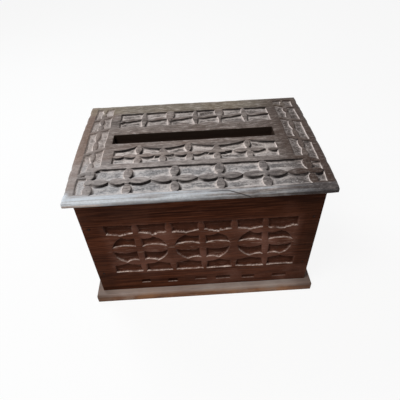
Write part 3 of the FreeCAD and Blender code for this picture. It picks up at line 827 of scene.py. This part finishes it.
def inner_front_band(x, y, carving):
    """Three crosses on bars and two tulips between them, under a row of swags."""
    row, half_length, half_width = BAR_LEAF
    for bar in INNER_BARS:
        upper = leaf(x, y, (bar, row), half_length, half_width, 1.0, upright=True)
        carving.stand(upper, half_width, 0.3)
        carving.stand(oval(x, y, (bar, BUD_ROW), *BAR_BUD), BAR_BUD[0], 0.3)
        carving.engrave(np.hypot(x - bar, y - BUD_DOT), 0.9)
        carving.engrave(stroke(x - bar, y - BAR_VEIN, PETAL_VEIN_HALF), 0.55)
        carving.stand(knob(x, y, (bar, INNER_ROW), INNER_KNOB), INNER_KNOB, 0.3)
        for side in (-1, 1):
            out, arm_length, arm_width = BAR_ARM
            arm = leaf(x, y, (bar + side * out, INNER_ROW), arm_length, arm_width, 0.3)
            carving.stand(arm, arm_width, 0.3)
    for middle in INNER_TULIPS:
        flare = TULIP_STEM + TULIP_FLARE * ramp(y, *TULIP_FLARE_ROWS) ** 2
        sides = (flare - np.abs(x - middle)) * 0.85
        carving.stand(np.minimum.reduce([sides, TULIP_REAR - y, y - TULIP_FRONT]), 3.5, 0.4)
        carving.stand(oval(x, y, (middle, BUD_ROW), *TULIP_BUD), TULIP_BUD[0], 0.3)
        carving.engrave(np.hypot(x - middle, y - BUD_DOT), 0.9)
        for side in (-1, 1):
            out, arm_length, arm_width = TULIP_ARM
            arm = leaf(x, y, (middle + side * out, INNER_ROW + 0.6), arm_length, arm_width, 0.3)
            carving.stand(arm, arm_width, 0.3)
    for end, inward in zip(INNER_ENDS, END_LEAVES):
        middle = (end + inward / 2, INNER_ROW - 1)
        half = abs(inward) / 2 + 1.5
        carving.stand(leaf(x, y, middle, half, END_LEAF_WIDTH, 0.4), END_LEAF_WIDTH, 0.4)


# The rear band. A post has its half width, how much that swells, the row where it is widest and
# the swell's length. Bumps and slashes have their half sizes, and a slash a cosine and a sine.
REAR_POSTS = (-88.6, -60.0, -29.5, 1.0, 29.5, 59.0, 88.6)
SLIM_POST = (2.4, 0.9, 48, 5.2)
BROAD_POST = (3.0, 1.9, 58, 6.5)
REAR_ROW = 48.2
REAR_LEAF_WIDTH = 3.1
REAR_EDGE = 66
BUMP_ROW = 31.2
BUMP_HALF = (11.0, 4.6)
REAR_SLASHES = (-84.0, -22.5, 36.5)
SLASH_ROW = 46.2
SLASH_HALF = (6.0, 1.7)
SLASH_TURN = (0.8, 0.6)


def inner_rear_band(x, y, carving):
    """Slim and broad posts in turn, a wavy leaf between each two, and bumps next to the slot."""
    for number, post in enumerate(REAR_POSTS[1:-1]):
        half, swell, widest, length = BROAD_POST if number % 2 else SLIM_POST
        width = half + swell * np.cos((y - widest) / length)
        carving.stand(np.minimum(width - np.abs(x - post), REAR_EDGE - y), 3.6, 0.3)
    for post, following in zip(REAR_POSTS, REAR_POSTS[1:]):
        middle, half = (post + following) / 2, (following - post) / 2
        wave = 1.3 * np.sin((x - post) / half * math.pi)
        wavy = leaf(x, y + wave, (middle, REAR_ROW), half - 0.6, REAR_LEAF_WIDTH, 0.7)
        carving.stand(wavy, REAR_LEAF_WIDTH, 0.3)
        carving.stand(leaf(x, y, (middle, BUMP_ROW), *BUMP_HALF, 0.2), BUMP_HALF[1], 0.3)
    cosine, sine = SLASH_TURN
    for slash in REAR_SLASHES:
        along = cosine * (x - slash) + sine * (y - SLASH_ROW)
        across = cosine * (y - SLASH_ROW) - sine * (x - slash)
        carving.stand(leaf(along, across, (0, 0), *SLASH_HALF, 0.4), SLASH_HALF[1], 0.2)


# Each side band: its spine, the rows of its crosses from front to rear, and its arms' slant. An
# arm has its half width, how much that swells, over what length, and how far out it reaches.
SIDE_BANDS = (
    (-109.8, (-49, -14, 27, 55.7, 84), 0.48),
    (110.2, (-44.5, -9.6, 31.4, 64, 88), -0.42),
)
SIDE_ARM = (2.1, 0.9, 9, 14)
SIDE_LEAF_WIDTH = 2.8


def side_bands(x, y, carving):
    """A row of crosses down each side: slanting arms, and leaves that meet along a spine."""
    half, swell, length, reach = SIDE_ARM
    for spine, crosses, tilt in SIDE_BANDS:
        beside = np.abs(x - spine)
        arm = half + swell * np.sin(np.clip(beside / length, 0, 1) * math.pi)
        for cross, following in zip(crosses, crosses[1:]):
            off_arm = np.abs(y - cross - tilt * (x - spine))
            carving.stand(np.minimum(arm - off_arm, reach - beside), 3.0, 0.4)
            quarter = (following - cross) / 4
            for row in (cross + quarter, following - quarter):
                link = leaf(x, y, (spine, row), quarter, SIDE_LEAF_WIDTH, 0.7, upright=True)
                carving.stand(link, SIDE_LEAF_WIDTH, 0.5)


# Straight-sided hollows, each by its left, right, front and rear: the front band with its two
# ends, then the rear band, the side bands and the strips that join these to the front band.
FRONT_HOLLOWS = ((-106.5, 107, -82.3, -45.6), (-119, -106, -80, -58), (106, 121, -80, -52))
OTHER_HOLLOWS = ((-88.6, 88.6, 31.4, 63.5), (-119.6, -99.3, -41.5, 78), (98.6, 121.6, -40, 78),
                 (-119.6, -111.8, -56, 0), (112.2, 121.6, -52, 0))
INNER_FRONT = -37.5
INNER_REACH = 95
FAR = 99.0


def lid_carving(x, y):
    """The whole of the lid's pattern, drawn freehand."""
    x = x + 0.5 * waver(x, y, 37, 21)
    y = y + 0.45 * waver(x, y, 33, 22)
    between_sides = np.abs(x) < INNER_REACH
    inner_front = np.where(y < 0, panel(x, y, *INNER_ENDS, INNER_FRONT, FAR), -FAR)
    hollow = np.maximum.reduce([panel(x, y, *sides) for sides in FRONT_HOLLOWS] + [inner_front])
    hanging = (y > -40) & (y < 0) & between_sides
    hollow = np.where(hanging, np.minimum(hollow, (swag_edge(x) - y) * 0.9), hollow)
    hollow = np.maximum.reduce([hollow] + [panel(x, y, *sides) for sides in OTHER_HOLLOWS])
    carving = Carving(hollow)
    reaches = ((front_band, y < -42), (inner_front_band, (y < -4) & (y > -41) & between_sides),
               (inner_rear_band, (y > 28) & between_sides), (side_bands, (np.abs(x) > 96) & (y > -58)))
    for band, reach in reaches:
        own = Carving(np.full_like(x, FAR))
        band(x, y, own)
        carving.take_in(own, reach)
    return carving


def lid_shade(x, y, land, standing_out, away):
    """Painted shadow: dark lines below what stands, wide beside the petals and leaves, slim beside the
    rails.
    """
    in_front = y < -44
    beside_shapes = np.where(in_front, 2.7, 2.1)
    beside_rails = np.where(in_front, 1.1, 1.7)
    reach = np.where(standing_out > 0.05, beside_shapes, beside_rails)
    shade = np.clip(np.minimum((land + reach) / 0.9, (0.25 - land) / 0.3), 0, 1) * away
    behind = np.interp(x, (-100, -92, 92, 100), (0.3, 0.85, 0.85, 0.7)) * np.interp(y, (0, 28), (1, 0.75))
    strength = np.where(in_front, np.interp(x, (-118, -112), (0.5, 1)), behind)
    return np.clip(shade * strength * (1.0 + 0.3 * waver(x, y, 29, 27)), 0, 1)


def lid_wear(x, y, edge, standing):
    """Where the lid is worn, dusty, frosted or darkened, as its finish reads it: the nose's painted sheen
    and the front's pale sheen fade from left to right with the light, and the darkening at the right end
    is painted shade.
    """
    # Painted light: brightest at the left, where the light falls, fading to the right.
    lit_from_left = np.interp(x, (-130, -60, -40, 0, 40, 80, 112), (0.93, 0.97, 0.91, 0.78, 0.64, 0.58, 0.22))
    dark = ramp(x, 66, 100) * np.interp(y, (-84, -76), (0.8, 1))
    greying = np.where(y < -44, np.interp(x, (-60, 10, 80, 112), (0, 0.6, 0.8, 0.3)), 0)
    # worn marks the nose, for its painted sheen.
    return {"worn": np.exp(-(edge / 8) ** 3) * lit_from_left * ramp(y, -72, -80),
            "side": ramp(x, -92, -98),
            "border": ramp(x, -119.5, -120.5) * ramp(y, -78, -70),
            "dark": dark * (1.1 - 0.35 * standing * (y > -42)),
            "pale_sheen": np.interp(y, (-60, -46, -38, -28), (1, 0.8, 0.75, 0)) * lit_from_left,
            "petal": standing * greying,
            "stood": standing * np.interp(y, (-46, -40, 24, 34), (0.3, 1, 1, 0.5))}


def lid_surface(x, y):
    """The lid's upper face: its crown, carving, rounded nose and eased slot."""
    edge = np.minimum(LID_LENGTH / 2 - np.abs(x), LID_WIDTH / 2 - np.abs(y))
    inner = edge > CARVED_FROM
    moved_x, moved_y = drawn_to_edges(lid_carving, x, y, (LID_SPACING, LID_SPACING), (0.0, -LID_SLOPE))
    x, y = np.where(inner, moved_x, x), np.where(inner, moved_y, y)
    carving = lid_carving(x, y)
    land = np.where(inner, carving.land, np.maximum(carving.land, 1.0))
    carving.land = land
    depth = LID_DEPTH * np.maximum(ramp(y, -84, -78), 0.3)
    z = np.where(inner, relief(carving, depth, LID_SLOPE, LID_EASE, LID_LIP), 0)
    floor = ramp(land, 0, -LID_SLOPE)
    z = z + floor * (0.18 * waver(x, y, 6, 24) + 0.14 * waver(x, 2 * y, 9, 25))
    z = z - 0.1 * (1 + waver(x, y, 50, 26)) * (land > 0)
    mark = carving.mark * (land > 0.4)
    z = z - 0.3 * mark
    left, right, front, rear = SLOT
    beside = np.maximum.reduce([left - x, x - right, front - y, y - rear])
    z = np.minimum(z + rounded(beside, SLOT_EASE) + rounded(edge, NOSE_ROUND), 0)
    z = z + LID_EDGE + LID_CROWN * (1 - (y / (LID_WIDTH / 2)) ** 2)
    slant_x, slant_y = slant(lid_carving, x, y, 0.1, 0), slant(lid_carving, x, y, 0, 0.1)
    away = np.clip(1.4 * slant_y - 0.85 * slant_x - 0.25, 0, 1) * inner
    standing_out = land - carving.rail
    shade = lid_shade(x, y, land, standing_out, away)
    cut = 1 - away * np.where(np.abs(x) > 97, 0.4, 1)
    foot = np.exp(np.minimum(land + LID_SLOPE, 0) / np.where(x > 92, 1.4, 3.0))
    nicked = np.clip(waver(x - y, 0 * x, 23, 31) + 0.25 * waver(x - y, 0 * x, 7, 32), 0, 1.2)
    nicked = nicked * np.where(y < -80, 0.3, 0.9) * np.clip(1 - edge / 6, 0, 1)
    x = x - np.sign(x) * nicked * (LID_LENGTH / 2 - np.abs(x) < 6)
    y = y - np.sign(y) * nicked * (LID_WIDTH / 2 - np.abs(y) < 6)
    standing = ramp(standing_out, 0, 0.8) * ramp(land, 0, 0.5) * inner
    # The engraved marks are darkened with the painted shadow.
    return x, y, z, {"floor": floor, "edge": np.clip(land, -5, 5), "cut": cut, "foot": foot,
                     "shade": np.maximum(shade, 0.5 * mark), **lid_wear(x, y, edge, standing)}


def nose_lines(low, high):
    """Lines that crowd together round the nose at each end and are even in between."""
    turns = NOSE_ROUND * (1 - np.cos(np.linspace(0, math.pi / 2, 8)))
    count = int((high - low - 2 * NOSE_FLAT_FROM) / LID_SPACING) + 1
    inside = np.linspace(low + NOSE_FLAT_FROM, high - NOSE_FLAT_FROM, count)
    return np.concatenate([low + turns, inside, high - turns[::-1]])


# Parts of the lid that its finish treats on their own, in metres: each pair is a soft edge.
SLOT_SURROUND = ((-0.014, -0.006), (0.026, 0.033))
FRONT_RAIL = ((-0.047, -0.045), (-0.038, -0.036))
REAR_BAND = ((0.018, 0.03), (0.06, 0.066))
REAR_RAIL = (0.058, 0.07)
FRONT_EDGE = (-0.0835, -0.0805)
NOSE_UPPER = (0.1658, 0.1685)
NOSE_TURN = ((0.1652, 0.1672), (0.1697, 0.1713))
UNDERSIDE = (0.1622, 0.1655)
CRACK_TOP = 0.0859
CRACK_BEND = 0.026
CRACK_SPAN = ((0.004, 0.014), (0.046, 0.049))
CRACK_WIDTH = (0.0003, 0.001)
lid_finish, lid_shader, place = new_finish("lid_grey_brown_worn")
streaks, fibres, pores = grain_of(place, "x")
blotches, smudges = place.noise(22, 5), place.stretched(60, 150, 150).noise(1, 5)
sideways, across, height = (place.axis(number) for number in range(3))
marks = ("floor", "edge", "cut", "shade", "foot", "worn", "side", "border", "dark", "pale_sheen", "petal",
         "stood")
floor, edge, cut, shade, foot, worn, side, border, dark, pale_sheen, petal, stood = (
    place.carved(mark) for mark in marks)

# The stain on what stands: grey-brown, redder in patches, paler in front with painted sheen, greyer on the
# front petals, and darker at the right with painted shade.
dark_stain, grey_brown, pale_fibre = (0.075, 0.056, 0.048), (0.2, 0.163, 0.146), (0.29, 0.245, 0.225)
pore_brown, crack_brown, red_brown = (0.03, 0.022, 0.018), (0.02, 0.014, 0.011), (0.15, 0.092, 0.07)
border_brown, slot_brown, olive = (0.18, 0.11, 0.08), (0.11, 0.073, 0.055), (0.19, 0.158, 0.102)
pale_sheen_grey, rubbed_tan, petal_grey = (0.36, 0.335, 0.33), (0.34, 0.285, 0.26), (0.075, 0.069, 0.073)
right_shade_brown, slate = (0.04, 0.019, 0.011), (0.085, 0.086, 0.094)
stain = streaks.between(0.32, 0.7).mixed(dark_stain, grey_brown)
stain = (fibres.between(0.46, 0.72) * 0.5).mixed(stain, pale_fibre)
stain = (pores * 0.7).mixed(stain, pore_brown)
cracks = place.stretched(7, 420, 420).noise(1, 4, 0.65).between(0.6, 0.68)
stain = (cracks * 0.75).mixed(stain, crack_brown)
red = (blotches.between(0.48, 0.68) * 0.5).mixed(stain, red_brown)
red = (border * 0.75).mixed(red, border_brown)
red = (across.within(*SLOT_SURROUND) * 0.35).mixed(red, slot_brown)
red = (across.between(*REAR_RAIL) * (0.2 + 0.6 * blotches)).mixed(red, olive)
# Paler in front: partly weathered wood and partly painted sheen, brightest at the left.
pale_sheened = (pale_sheen * (0.9 * streaks + 0.05)).mixed(red, pale_sheen_grey)
pale_sheened = (stood * 0.22 + across.within(*FRONT_RAIL) * 0.2).mixed(pale_sheened, rubbed_tan)
# The front band's petals turn greyer towards the right.
greyed = (petal * 0.5).mixed(pale_sheened, petal_grey)
# Painted shade: darker towards the right end, and its front edge greyer there.
shaded_right = (dark * 0.8).mixed(greyed, right_shade_brown)
front_edge = 1 - across.between(*FRONT_EDGE)
shaded_right = (front_edge * sideways.between(0.07, 0.105) * 0.5).mixed(shaded_right, slate)

# The dust in the hollows, the bare lips round them and grit over both, then painted shade along and below
# what stands.
floor_dark, floor_pale, side_dust = (0.095, 0.078, 0.07), (0.54, 0.475, 0.445), (0.27, 0.228, 0.21)
cold_dust_and_sheen, fibre_dust, right_shade_dust = (0.49, 0.51, 0.54), (0.6, 0.53, 0.5), (0.075, 0.056, 0.05)
bare_lip, pale_grit, dark_grit = (0.7, 0.61, 0.57), (0.56, 0.5, 0.47), (0.035, 0.026, 0.022)
pale_speck, dark_speck = (0.62, 0.58, 0.56), (0.03, 0.024, 0.022)
edge_shade, dim_brown, painted_shadow = (0.012, 0.009, 0.008), (0.02, 0.015, 0.013), (0.006, 0.004, 0.004)
patches = (smudges + 0.4 * foot).between(0.52, 0.8)
dusty = patches.mixed(floor_dark, floor_pale)
dusty = (side * 0.65).mixed(dusty, side_dust)
# The front's floors: pale dust with painted sheen.
dusty = (pale_sheen * (0.15 + 0.6 * blotches)).mixed(dusty, cold_dust_and_sheen)
dusty = (fibres.between(0.5, 0.75) * (0.35 - 0.25 * side)).mixed(dusty, fibre_dust)
# Painted shade: the hollows darken towards the right end too.
dusty = (dark * 0.5).mixed(dusty, right_shade_dust)
hollows = floor.mixed(shaded_right, dusty)
rim = 1 - (edge.apart(-0.65) * (1 + 0.9 * dark)).between(0.25, 0.75)
outlines = (rim * cut * (1 - 0.5 * pale_sheen) * (0.7 + 0.8 * smudges)).mixed(hollows, bare_lip)
grit = place.stretched(110, 430, 430).noise(1, 4, 0.7)
calm = 1 - 0.65 * side
gritty = (grit.between(0.5, 0.66) * calm * (0.42 - 0.26 * dark)).mixed(outlines, pale_grit)
gritty = ((1 - grit).between(0.48, 0.64) * calm * 0.42).mixed(gritty, dark_grit)
specks = place.stretched(420, 560, 560).noise(1, 3, 0.7)
gritty = (specks.between(0.52, 0.66) * (0.1 + 0.3 * floor)).mixed(gritty, pale_speck)
gritty = ((1 - specks).between(0.52, 0.66) * (0.14 + 0.3 * floor)).mixed(gritty, dark_speck)
# Painted shade: a thin dark line along each edge on its shaded side.
line = 1 - edge.apart(-0.15).between(0.25, 0.7)
edge_shaded = (line * (1 - cut) * 0.9).mixed(gritty, edge_shade)
edge_shaded = (across.within(*REAR_BAND) * 0.13).mixed(edge_shaded, dim_brown)
# Painted shadow: dark crescents below and to the right of what stands, and in the engraved marks.
shadowed = shade.mixed(edge_shaded, painted_shadow)

# The nose: a painted sheen, cold bluish white above and warmer at its left end, with one short crack.
warm_sheen, cold_sheen, white_sheen = (0.82, 0.68, 0.6), (0.64, 0.7, 0.77), (0.86, 0.92, 0.98)
darkening, crack_dark = (0.014, 0.009, 0.008), (0.03, 0.022, 0.02)
sheen_streaks = place.stretched(14, 420, 420).noise(1, 5, 0.65)
upper = height.between(*NOSE_UPPER)
cold = (upper + sideways.between(-0.105, -0.08)).between(0, 1)
sheen_colour = cold.mixed(warm_sheen, cold_sheen)
sheen_colour = height.within(*NOSE_TURN).mixed(sheen_colour, white_sheen)
sheen_mask = worn * (worn + 2.4 * sheen_streaks).between(1.45, 2.35)
# Painted sheen: brightest on the upper nose, and on the lower nose at the left end.
rubbed = 0.4 + 0.6 * upper + 0.75 * (1 - upper) * (-1 * sideways).between(0.075, 0.105)
# Painted shade: the lower nose darkens towards the right end.
nose_shaded = (dark * (1 - upper) * 0.75).mixed(shadowed, darkening)
nosed = (sheen_mask * rubbed * (0.25 + 0.7 * fibres + 0.75 * specks)).mixed(nose_shaded, sheen_colour)
down = CRACK_TOP - across - height
course = down.sum("MAXIMUM", (sideways - CRACK_BEND) * 0.5, 0)
crack = (1 - down.apart(course).between(*CRACK_WIDTH)) * front_edge * sideways.within(*CRACK_SPAN)
nosed = (crack * 0.85).mixed(nosed, crack_dark)

# The slot's sawn walls and the underside, both darker and never rubbed: partly stain and partly painted
# shade, in the slot and along the nose's lower edge where it turns under.
slot_stain_and_shade, under_dark, under_brown = (0.028, 0.018, 0.013), (0.03, 0.017, 0.012), (0.075, 0.046, 0.034)
under_fibre, under_pore = (0.12, 0.076, 0.056), (0.012, 0.008, 0.006)
left, right, front, rear = SLOT
inside = 1
for off, low, high in ((across, front, rear), (sideways, left, right)):
    half = (high - low) / 2
    from_middle = off.apart((low + high) / 2 * MILLIMETRE)
    inside = inside * (1 - from_middle.between((half + 0.1) * MILLIMETRE, (half + 0.5) * MILLIMETRE))
# Stain and painted shade: the slot's walls are dark.
lined = inside.mixed(nosed, slot_stain_and_shade)
under = streaks.between(0.32, 0.7).mixed(under_dark, under_brown)
under = (fibres.between(0.46, 0.72) * 0.45).mixed(under, under_fibre)
under = (pores * 0.6).mixed(under, under_pore)
# Painted shade: the nose darkens along its lower edge, and the underside is stained dark.
whole = height.between(*UNDERSIDE).mixed(under, lined)
wire(lid_shader, Base_Color=whole, Roughness=0.42 + 0.28 * floor + 0.14 * blotches,
     Specular_IOR_Level=0.12,
     Normal=bumped(fibres + 0.8 * streaks - pores * 0.7 - cracks, 0.4, 0.0005))

# The board itself, sawn through for the slot and recessed below for the two hinge leaves.
SAW_LOW = 150
SAW_HIGH = 190
HINGE_MIDDLE = 70
RECESS_HALF = 16.1
RECESS_FRONT = 67.7
RECESS_REAR = 84.6
RECESS_TOP = 163
lid = board("lid_board_carved", nose_lines(-LID_LENGTH / 2, LID_LENGTH / 2),
            nose_lines(-LID_WIDTH / 2, LID_WIDTH / 2), lid_surface, LID_UNDER, LID_CHAMFER)
sawn = [((left, front, SAW_LOW), (right, rear, SAW_HIGH))]
for hinge in (-HINGE_MIDDLE, HINGE_MIDDLE):
    sawn.append(((hinge - RECESS_HALF, RECESS_FRONT, SAW_LOW),
                 (hinge + RECESS_HALF, RECESS_REAR, RECESS_TOP)))
cut_away(lid, sawn)
set_in_place(lid, Matrix.Identity(4), (0, 0, 0))
lid.data.materials.append(lid_finish)
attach(lid, "lid")
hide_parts("lid_board")


# Studio: a pale floor, one wide soft lamp above and behind the box, another above it and in
# front, and a white surround. The camera stands where the photograph was taken from.
floor_finish, floor_shader, place = new_finish("floor_pale")
paper = place.noise(3, 3).between(0.3, 0.7).mixed((0.86, 0.86, 0.86), (0.9, 0.9, 0.9))
wire(floor_shader, Base_Color=paper, Roughness=0.9, Specular_IOR_Level=0)


def background_rays(shade):
    """1 for what the camera sees directly, in a reflection or through glass, and 0 for light."""
    camera_ray = shade.add("LightPath")
    glossy_ray = shade.add("LightPath", {}, {}, output=3)
    passing_ray = shade.add("LightPath", {}, {}, output=6)
    return shade.sum("MAXIMUM", shade.sum("MAXIMUM", camera_ray, glossy_ray), passing_ray)


white = place.add("Emission", {}, {"Color": (1, 1, 1, 1), "Strength": 1})
paper_tree = floor_finish.node_tree
matt = Shade(paper_tree, floor_shader.outputs[0])
floor_look = place.add("MixShader", {}, {0: background_rays(place) * 0.9, 1: matt, 2: white})
paper_tree.links.new(floor_look.socket, paper_tree.nodes["Material Output"].inputs["Surface"])
bpy.ops.object.select_all(action="DESELECT")
bpy.ops.mesh.primitive_plane_add(size=12, location=(0, 0, 0))
ground = bpy.context.object
ground.name = "floor"
ground.data.transform(Matrix.Translation((0, 0, -0.0003)))
ground.data.materials.append(floor_finish)
ground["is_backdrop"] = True
world = bpy.data.worlds.new("white_surround")
world.use_nodes = True
bpy.context.scene.world = world
sky = Shade(world.node_tree)
dim = sky.add("Background", {}, {"Color": (1, 1, 1, 1), "Strength": 0.2})
bright = sky.add("Background", {}, {"Color": (1, 1, 1, 1), "Strength": 1})
surround = sky.add("MixShader", {}, {0: background_rays(sky), 1: dim, 2: bright})
world.node_tree.links.new(surround.socket, world.node_tree.nodes["World Output"].inputs["Surface"])


def soft_lamp(name, place, aim, width, depth, power, colour):
    """A rectangular lamp that faces the aim."""
    bpy.ops.object.light_add(type="AREA", location=place)
    lamp = bpy.context.object
    lamp.name = name
    lamp.rotation_euler = (Vector(aim) - Vector(place)).to_track_quat("-Z", "Y").to_euler()
    lamp.data.shape = "RECTANGLE"
    lamp.data.size = width
    lamp.data.size_y = depth
    lamp.data.energy = power
    lamp.data.color = colour


soft_lamp("window", (-0.55, 0.5, 0.8), (0, 0, 0.15), 0.45, 0.4, 5.0, (0.86, 0.94, 1.0))
soft_lamp("overhead", (-0.35, -0.32, 0.95), (0, 0, 0.12), 0.4, 0.35, 5.2, (1.0, 0.97, 0.94))

# The camera's tilt down, turn and roll in degrees, where it stands, in metres, and its lens and
# sensor in millimetres.
CAMERA_ANGLES = (42.745, 1.2465, -2.4927)
CAMERA_PLACE = (-0.006578, -0.337992, 0.39466)
CAMERA_LENS = 32.733
CAMERA_SENSOR = 36
pitch, yaw, roll = (math.radians(angle) for angle in CAMERA_ANGLES)
ahead = Vector((math.sin(yaw) * math.cos(pitch), math.cos(yaw) * math.cos(pitch), -math.sin(pitch)))
level = Vector((math.cos(yaw), -math.sin(yaw), 0))
above = level.cross(ahead)
right_hand = level * math.cos(roll) + above * math.sin(roll)
overhead = above * math.cos(roll) - level * math.sin(roll)
bpy.ops.object.camera_add()
camera = bpy.context.object
camera.name = "photo_camera"
turn = Matrix((right_hand, overhead, -ahead)).transposed().to_4x4()
camera.matrix_world = Matrix.Translation(CAMERA_PLACE) @ turn
camera.data.sensor_width = CAMERA_SENSOR
camera.data.lens = CAMERA_LENS
camera.data.clip_start = 0.01
bpy.context.scene.camera = camera
bpy.context.scene.view_settings.view_transform = "Standard"
low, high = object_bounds()
